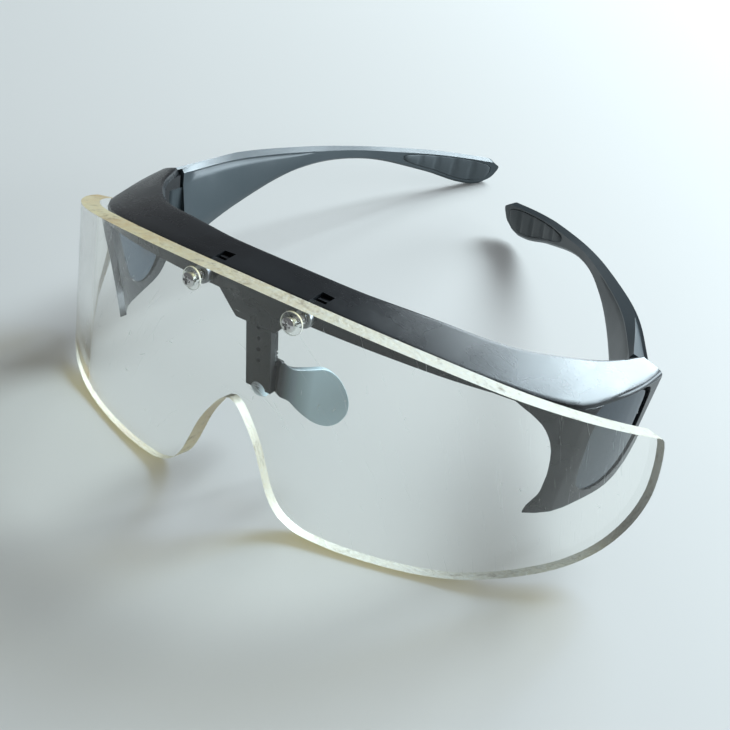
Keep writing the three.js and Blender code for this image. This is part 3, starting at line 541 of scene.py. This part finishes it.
def apply_all(piece):
    only(piece)
    for modifier in list(piece.modifiers):
        bpy.ops.object.modifier_apply(modifier=modifier.name)


def merged_copy(node, name):
    """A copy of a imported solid, with its loose triangles joined and flat ground cleared."""
    only(frame["nodes"][node])
    bpy.ops.object.duplicate()
    piece = bpy.context.view_layer.objects.active
    piece.name = name
    piece.data.name = name
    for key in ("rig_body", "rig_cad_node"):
        if key in piece:
            del piece[key]
    world = piece.matrix_world.copy()
    piece.parent = None
    piece.matrix_world = world
    bpy.ops.mesh.customdata_custom_splitnormals_clear()
    bpy.ops.object.mode_set(mode="EDIT")
    bpy.ops.mesh.select_all(action="SELECT")
    bpy.ops.mesh.remove_doubles(threshold=WELD)
    bpy.ops.mesh.dissolve_limited(angle_limit=FLAT_ANGLE)
    bpy.ops.object.mode_set(mode="OBJECT")
    return piece


def rounded(piece, width, segments=2, angle=ROUND_ANGLE):
    """Rounds the sharp edges and shades the rest smooth."""
    if width > 0.0:
        bevel = piece.modifiers.new("round", "BEVEL")
        bevel.width = width
        bevel.segments = segments
        bevel.limit_method = "ANGLE"
        bevel.angle_limit = angle
        bevel.use_clamp_overlap = True
        bevel.miter_outer = "MITER_ARC"
        bevel.loop_slide = True
    apply_all(piece)
    bpy.ops.object.shade_smooth_by_angle(angle=SHARP_ANGLE)
    even = piece.modifiers.new("even", "WEIGHTED_NORMAL")
    even.keep_sharp = True
    apply_all(piece)


def dressed(piece, material, body, node):
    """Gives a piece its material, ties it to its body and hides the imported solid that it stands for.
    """
    piece.data.materials.clear()
    piece.data.materials.append(MATERIALS[material])
    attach(piece, body)
    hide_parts(node)
    return piece


def finished_copy(node, name, material, body, width):
    piece = merged_copy(node, name)
    rounded(piece, width)
    return dressed(piece, material, body, node)


def middle_of(node):
    low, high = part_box(node)
    return (Vector(low) + Vector(high)) / 2.0


def sheet_across(x):
    """Direction through the bent sheet's thickness at a distance from its middle."""
    reach = abs(x)
    bend = math.sin(SHEET_MIDDLE_HALF / SHEET_MIDDLE_RADIUS)
    middle_reach = SHEET_MIDDLE_RADIUS * bend
    if reach <= middle_reach:
        turn = math.asin(reach / SHEET_MIDDLE_RADIUS)
    else:
        turn = math.asin(min((reach - middle_reach) / SHEET_END_RADIUS + bend, 1.0))
    flat = math.cos(turn)
    side = -math.copysign(math.sin(turn), x)
    return Vector((side, flat * math.cos(SHEET_LEAN), -flat * math.sin(SHEET_LEAN)))


def in_hole(place, holes):
    """Whether a place is on the wall of a screw hole, from the middles of the holes."""
    return any(max(abs(place.x - hole.x), abs(place.z - hole.z)) < HOLE_REACH for hole in holes)


# One operator for each group of pieces
class GLASSES_OT_materials(bpy.types.Operator):
    """Makes the materials of every piece"""
    bl_idname = "glasses.materials"
    bl_label = "Materials"

    def execute(self, context):
        GROUPS.update(grain=grain_group(), edges=edge_group(), scratches=scratch_group())
        make_plastics()
        make_clear_sheet()
        make_sheet_edge()
        make_clear_washer()
        make_metals()
        make_washer_rim_highlight()
        make_floor_paper()
        return {"FINISHED"}


class GLASSES_OT_brow(bpy.types.Operator):
    """Finishes the black brow frame with its side guards"""
    bl_idname = "glasses.brow"
    bl_label = "Brow frame"

    def execute(self, context):
        finished_copy("frame_front", "brow_frame", "black_plastic", "front",
                      sizes().moulding_round)
        return {"FINISHED"}


class GLASSES_OT_windows(bpy.types.Operator):
    """Finishes the plates let into the side guards"""
    bl_idname = "glasses.windows"
    bl_label = "Side windows"

    def execute(self, context):
        for side in SIDES:
            finished_copy(f"side_window_{side}", f"side_plate_{side}", "window_plastic", "front",
                          sizes().metal_round)
        return {"FINISHED"}


class GLASSES_OT_sheet(bpy.types.Operator):
    """Finishes the clear front sheet with its sawn and polished edge"""
    bl_idname = "glasses.sheet"
    bl_label = "Clear sheet"

    def execute(self, context):
        piece = merged_copy("front_shield", "clear_sheet")
        rounded(piece, sizes().sheet_round, 3, SHEET_ROUND_ANGLE)
        dressed(piece, "clear_sheet", "front", "front_shield")
        piece.data.materials.append(MATERIALS["sheet_edge"])
        holes = [middle_of(f"shield_washer_{side}") for side in SIDES]
        for face in piece.data.polygons:
            through = abs(face.normal.dot(sheet_across(face.center.x)))
            if through < SAWN_SHARE and not in_hole(face.center, holes):
                face.material_index = 1
        return {"FINISHED"}


class GLASSES_OT_fixings(bpy.types.Operator):
    """Finishes the screws, clear washers, sleeves and nuts"""
    bl_idname = "glasses.fixings"
    bl_label = "Screws and washers"

    def execute(self, context):
        width = sizes().metal_round
        for side in SIDES:
            finished_copy(f"shield_screw_{side}", f"screw_{side}", "bright_steel", "front",
                          width)
            washer = finished_copy(f"shield_washer_{side}", f"washer_{side}", "clear_washer", "front",
                                   width)
            washer.data.materials.append(MATERIALS["washer_rim_highlight"])
            middle = middle_of(f"shield_washer_{side}")
            for face in washer.data.polygons:
                # Faces on the rim get the pale painted highlight
                if (face.center - middle).length > WASHER_RIM:
                    face.material_index = 1
            finished_copy(f"shield_spacer_{side}", f"sleeve_{side}", "grey_steel", "front",
                          width)
            finished_copy(f"shield_nut_{side}", f"nut_{side}", "black_steel", "front", width)
        return {"FINISHED"}


class GLASSES_OT_nose(bpy.types.Operator):
    """Finishes the sliding nose piece with its two pads"""
    bl_idname = "glasses.nose"
    bl_label = "Nose piece"

    def execute(self, context):
        finished_copy("nose_piece", "nose_saddle", "nose_plastic_and_pad_highlight", "nose",
                      sizes().moulding_round)
        return {"FINISHED"}


class GLASSES_OT_arms(bpy.types.Operator):
    """Finishes the side arms with their grip pads and hinge pins"""
    bl_idname = "glasses.arms"
    bl_label = "Side arms"

    def execute(self, context):
        for side in SIDES:
            body = f"{side}_arm"
            finished_copy(f"temple_{side}", f"arm_{side}", "arm_plastic", body,
                          sizes().arm_round)
            finished_copy(f"grip_pad_{side}", f"grip_{side}", "grip_rubber", body,
                          sizes().pad_round)
            pin_body = frame["nodes"][f"hinge_pin_{side}"]["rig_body"]
            finished_copy(f"hinge_pin_{side}", f"pin_{side}", "grey_steel", pin_body,
                          sizes().metal_round)
        return {"FINISHED"}


def make_floor():
    bpy.ops.mesh.primitive_plane_add(size=sizes().floor_size, location=(0.0, 0.0, FLOOR_LEVEL))
    floor = bpy.context.object
    floor.name = "floor"
    bpy.ops.object.transform_apply(location=True, rotation=True, scale=True)
    floor.data.materials.append(MATERIALS["floor_paper"])


def make_lamps():
    """Soft area lamps that the clear sheet doesn't show as bright shapes."""
    for name, place, size, power, colour in LAMPS:
        bpy.ops.object.light_add(type="AREA", location=place)
        light = bpy.context.object
        light.name = name
        light.data.shape = "RECTANGLE"
        light.data.size, light.data.size_y = size
        light.data.energy = power
        light.data.color = colour
        toward = Vector(LAMP_AIM) - Vector(place)
        light.rotation_euler = toward.to_track_quat("-Z", "Y").to_euler()
        light.visible_transmission = False


def make_world(scene):
    world = bpy.data.worlds.new("studio")
    world.use_nodes = True
    background = world.node_tree.nodes["Background"]
    background.inputs["Color"].default_value = WORLD_COLOUR
    background.inputs["Strength"].default_value = WORLD_STRENGTH
    scene.world = world
    scene.view_settings.view_transform = "Standard"


def make_camera(scene):
    bpy.ops.object.camera_add(location=CAMERA_PLACE)
    camera = bpy.context.object
    camera.name = "photo_camera"
    camera.rotation_euler = [math.radians(angle) for angle in CAMERA_TURN]
    camera.data.sensor_width = SENSOR_WIDTH
    camera.data.lens = PHOTO_FOCAL / PHOTO_WIDTH * SENSOR_WIDTH
    camera.data.clip_start = CAMERA_NEAR
    camera.data.clip_end = CAMERA_FAR
    scene.camera = camera


class GLASSES_OT_stage(bpy.types.Operator):
    """Makes the floor, the lamps and the camera"""
    bl_idname = "glasses.stage"
    bl_label = "Stage"

    def execute(self, context):
        bpy.ops.object.select_all(action="DESELECT")
        make_floor()
        make_lamps()
        make_world(context.scene)
        make_camera(context.scene)
        return {"FINISHED"}


OPERATORS = (
    GLASSES_OT_materials, GLASSES_OT_brow, GLASSES_OT_windows, GLASSES_OT_sheet, GLASSES_OT_fixings,
    GLASSES_OT_nose, GLASSES_OT_arms, GLASSES_OT_stage)


class GLASSES_PT_panel(bpy.types.Panel):
    """Lists the sizes, the colours and the steps that build the glasses"""
    bl_label = "Protective glasses"
    bl_idname = "GLASSES_PT_panel"
    bl_space_type = "VIEW_3D"
    bl_region_type = "UI"
    bl_category = "Glasses"

    def draw(self, context):
        for group in (context.scene.glasses_sizes, context.scene.glasses_colours):
            box = self.layout.box()
            for key in group.__annotations__:
                box.prop(group, key)
        for operator in OPERATORS:
            self.layout.operator(operator.bl_idname)


CLASSES = (GlassesSizes, GlassesColours) + OPERATORS + (GLASSES_PT_panel,)


def register():
    for kind in CLASSES:
        bpy.utils.register_class(kind)
    bpy.types.Scene.glasses_sizes = bpy.props.PointerProperty(type=GlassesSizes)
    bpy.types.Scene.glasses_colours = bpy.props.PointerProperty(type=GlassesColours)


def unregister():
    del bpy.types.Scene.glasses_colours
    del bpy.types.Scene.glasses_sizes
    for kind in reversed(CLASSES):
        bpy.utils.unregister_class(kind)


def main():
    register()
    for operator in OPERATORS:
        group, name = operator.bl_idname.split(".")
        getattr(getattr(bpy.ops, group), name)()
    bpy.ops.object.select_all(action="DESELECT")


if __name__ == "__main__":
    main()
